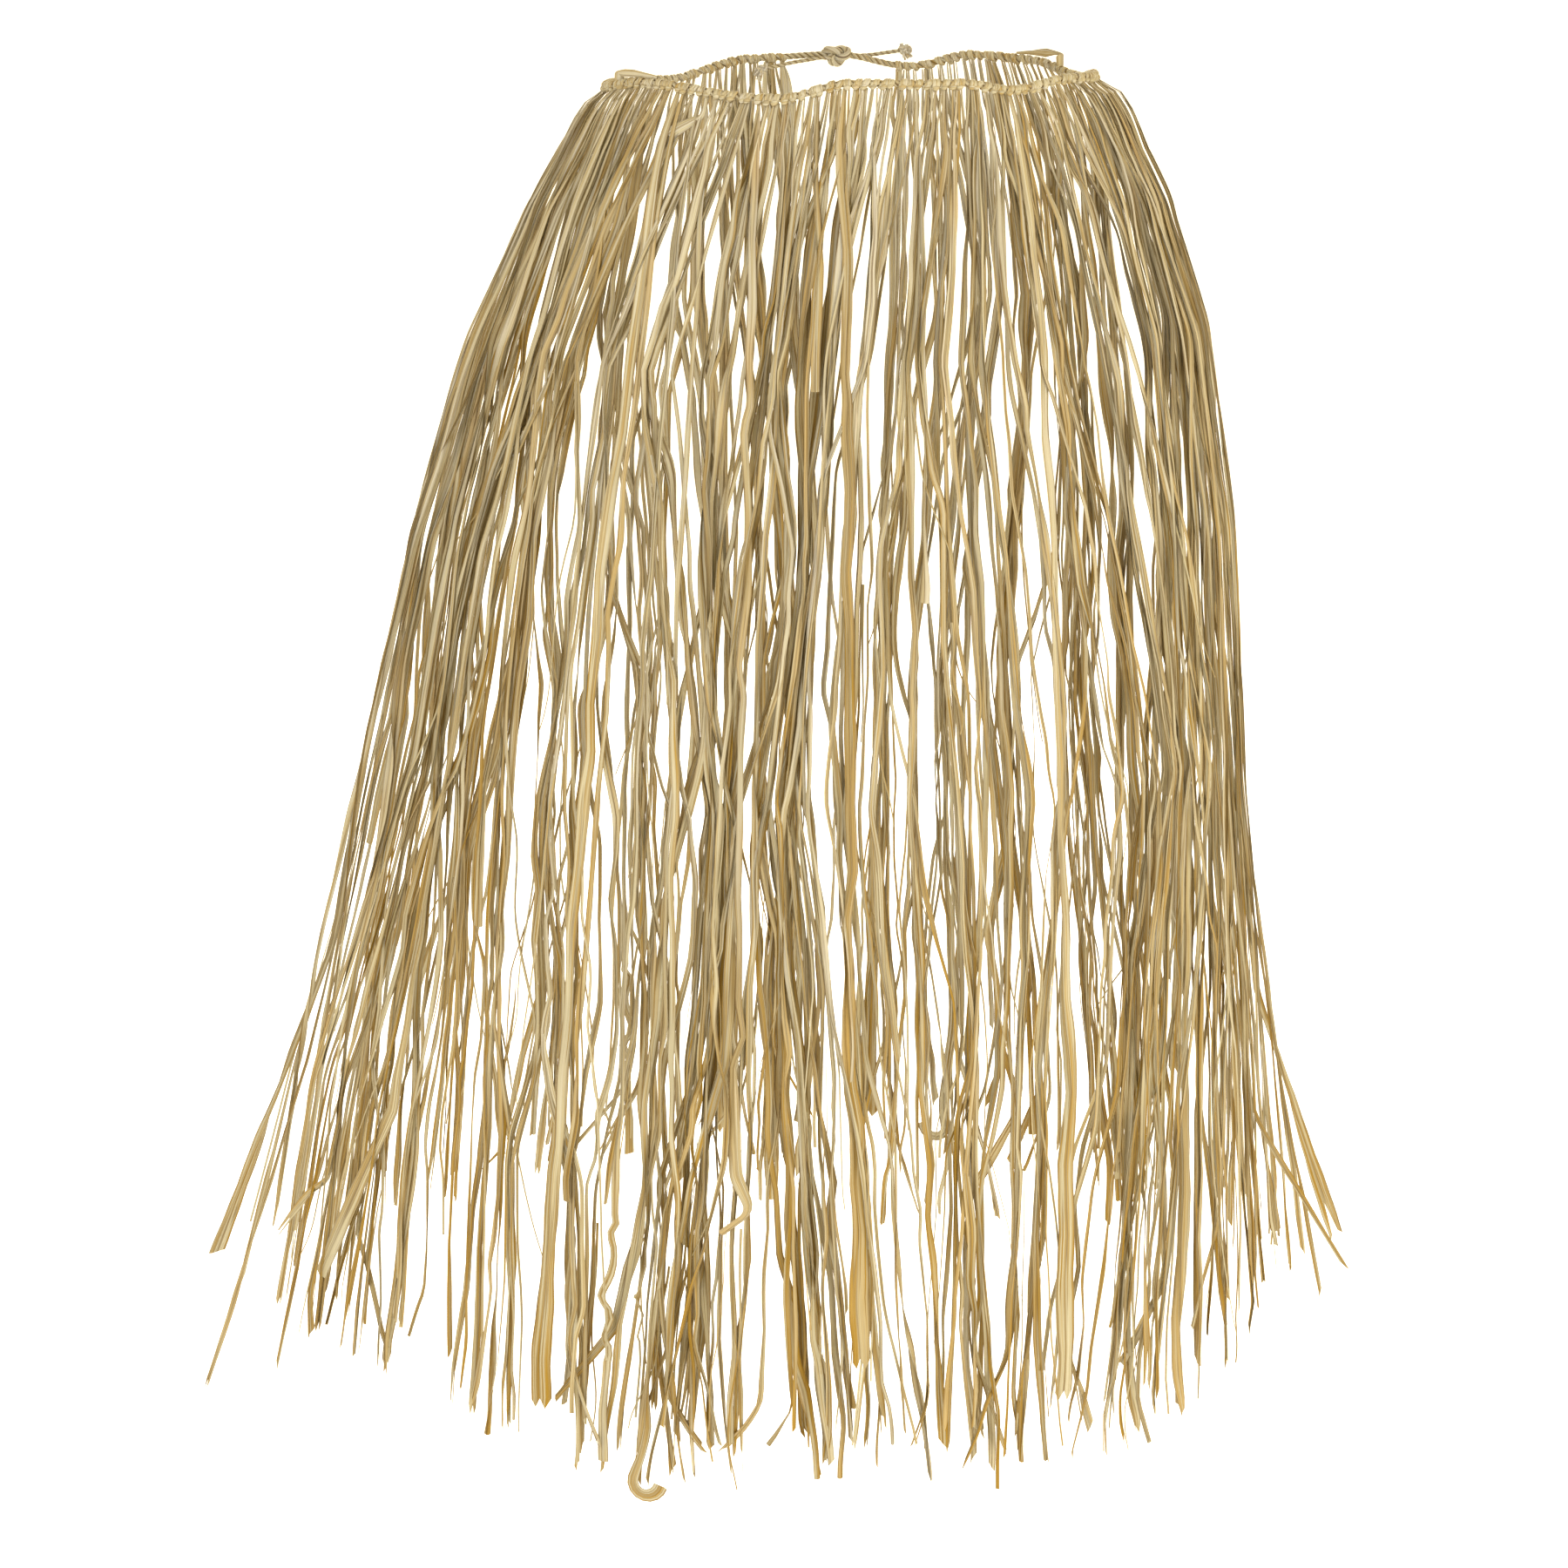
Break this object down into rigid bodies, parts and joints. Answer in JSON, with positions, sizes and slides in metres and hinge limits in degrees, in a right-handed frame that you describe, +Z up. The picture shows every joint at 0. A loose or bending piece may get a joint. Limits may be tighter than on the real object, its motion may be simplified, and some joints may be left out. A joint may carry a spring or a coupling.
{
  "type": "grass skirt",
  "caption": "Long raffia grass skirt, filled out as when worn: flat straw strips hitched over a twisted waist cord tied behind, open at the waist and hem.",
  "frame": {"origin": "middle of the waist ring at the height of the cord", "axes": "+Z up, the wearer's front faces -Y, the tie is at +Y, +X is the wearer's left"},
  "size_m": [0.7645, 0.5273, 0.8709],
  "materials": {
    "straw": "dry raffia, satin",
    "golden_straw": "dry raffia, satin",
    "pale_straw": "dry raffia, satin",
    "olive_straw": "dry raffia, satin",
    "twisted_cord": "twisted raffia, dull"
  },
  "bodies": {
    "root": {"raffia_bunch_01": "straw", "raffia_bunch_02": "golden_straw", "raffia_bunch_03": "pale_straw", "raffia_bunch_04": "olive_straw", "raffia_bunch_05": "straw", "raffia_bunch_06": "golden_straw", "raffia_bunch_07": "pale_straw", "raffia_bunch_08": "olive_straw", "raffia_bunch_09": "straw", "raffia_bunch_10": "golden_straw", "raffia_bunch_11": "pale_straw", "raffia_bunch_12": "olive_straw", "raffia_bunch_13": "straw", "raffia_bunch_14": "golden_straw", "raffia_bunch_15": "pale_straw", "raffia_bunch_16": "olive_straw", "raffia_bunch_17": "straw", "raffia_bunch_18": "golden_straw", "raffia_bunch_19": "pale_straw", "raffia_bunch_20": "olive_straw", "raffia_bunch_21": "straw", "raffia_bunch_22": "golden_straw", "raffia_bunch_23": "pale_straw", "raffia_bunch_24": "olive_straw", "raffia_bunch_25": "straw", "raffia_bunch_26": "golden_straw", "raffia_bunch_27": "pale_straw", "raffia_bunch_28": "olive_straw", "waist_cord": "twisted_cord", "waist_knot": "twisted_cord", "tie_end_left": "twisted_cord", "tie_end_right": "twisted_cord", "tie_knot_left": "twisted_cord", "tie_knot_right": "twisted_cord", "loose_strip_left": "straw", "loose_strip_right": "straw"}
  },
  "joints": []
}
